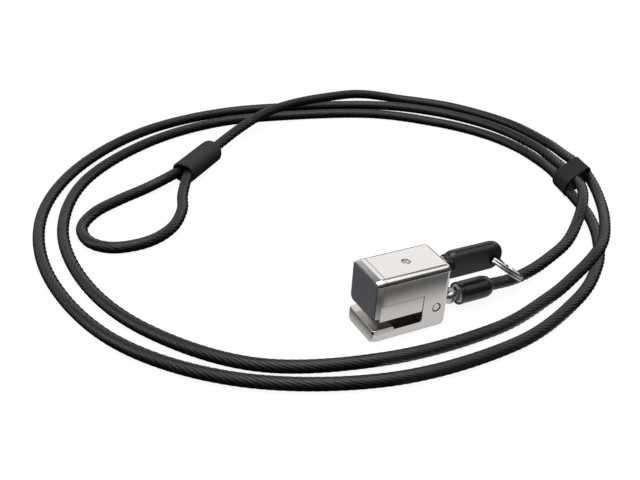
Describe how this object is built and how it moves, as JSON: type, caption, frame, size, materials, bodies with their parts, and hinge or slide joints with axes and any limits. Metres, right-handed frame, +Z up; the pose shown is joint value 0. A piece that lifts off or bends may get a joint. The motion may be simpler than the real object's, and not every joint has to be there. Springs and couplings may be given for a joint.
{
  "type": "laptop cable lock",
  "caption": "Laptop cable lock: a keyed clamping lock head on a swivel, a long vinyl-covered steel cable held by a strap, and a crimped end loop.",
  "frame": {"origin": "centre of the lock head's flat underside, on the surface that it stands on", "axes": "+Z up, +X along the lock head from the push pad to the key and the cable, +Y to the left of +X"},
  "size_m": [0.2412, 0.2095, 0.0234],
  "materials": {
    "nickel_housing": "satin brushed nickel plate with softly rounded edges",
    "nickel_jaw": "satin brushed nickel plate",
    "nickel_lip": "satin nickel plate",
    "pin_steel": "turned and ground steel pin ends",
    "cylinder_brass": "turned brass",
    "pin_brass": "polished brass",
    "spring_steel": "bright drawn wire",
    "screw_steel": "bright turned steel",
    "pad_slate": "matte dark slate grey insert",
    "key_steel": "bright nickel-plated tube",
    "key_black": "satin black moulded bow",
    "ring_steel": "bright nickel-plated spring steel",
    "knuckle_steel": "polished dark steel",
    "boot_black": "glossy black moulded boot",
    "cable_vinyl": "thin glossy black vinyl jacket over twisted wire strands",
    "crimp_metal": "pressed aluminium sleeve",
    "cover_black": "satin black moulded cover",
    "strap_black": "black woven hook-and-loop strap"
  },
  "bodies": {
    "cable_run": {"cable": "cable_vinyl", "eye_loop": "cable_vinyl", "eye_crimp": "crimp_metal", "eye_cover": "cover_black", "cable_strap": "strap_black", "cable_fitting": "knuckle_steel", "cable_boot": "boot_black"},
    "swivel": {"swivel_stud": "knuckle_steel", "pivot_pin": "pin_steel"},
    "lock_body": {"housing": "nickel_housing", "foot_lip": "nickel_lip", "top_pin": "pin_steel", "side_pin": "pin_steel", "lock_barrel": "cylinder_brass", "pin_block": "cylinder_brass", "driver_pins": "pin_steel", "pin_springs": "spring_steel", "guide_screws": "screw_steel", "return_springs": "spring_steel"},
    "jaw": {"jaw_slider": "nickel_jaw", "push_pad": "pad_slate"},
    "rotor": {"rotor": "cylinder_brass", "tumbler_pins": "pin_brass", "tail_bar": "screw_steel"},
    "key": {"key_shank": "key_steel", "key_bow": "key_black"},
    "key_ring": {"key_ring": "ring_steel"}
  },
  "joints": [
    {"name": "cable_pivot", "type": "hinge", "parent": "cable_run", "child": "swivel", "pos_m": [0.0202, 0, 0.005], "axis": [0, -1, 0], "range_deg": [0, 70]},
    {"name": "head_swivel", "type": "hinge", "parent": "swivel", "child": "lock_body", "pos_m": [0.0098, 0, 0.005], "axis": [1, 0, 0], "range_deg": [-30, 30]},
    {"name": "jaw_slide", "type": "slide", "parent": "lock_body", "child": "jaw", "axis": [-1, 0, 0], "range_m": [0, 0.006], "deforming": ["return_springs"]},
    {"name": "cylinder_turn", "type": "hinge", "parent": "lock_body", "child": "rotor", "pos_m": [0, 0, 0.0183], "axis": [1, 0, 0], "range_deg": [0, 90]},
    {"name": "key_pull", "type": "slide", "parent": "rotor", "child": "key", "axis": [1, 0, 0], "range_m": [0, 0.014]},
    {"name": "ring_swing", "type": "hinge", "parent": "key", "child": "key_ring", "pos_m": [0.0348, 0, 0.0173], "axis": [0, -1, 0], "range_deg": [0, 110]}
  ]
}
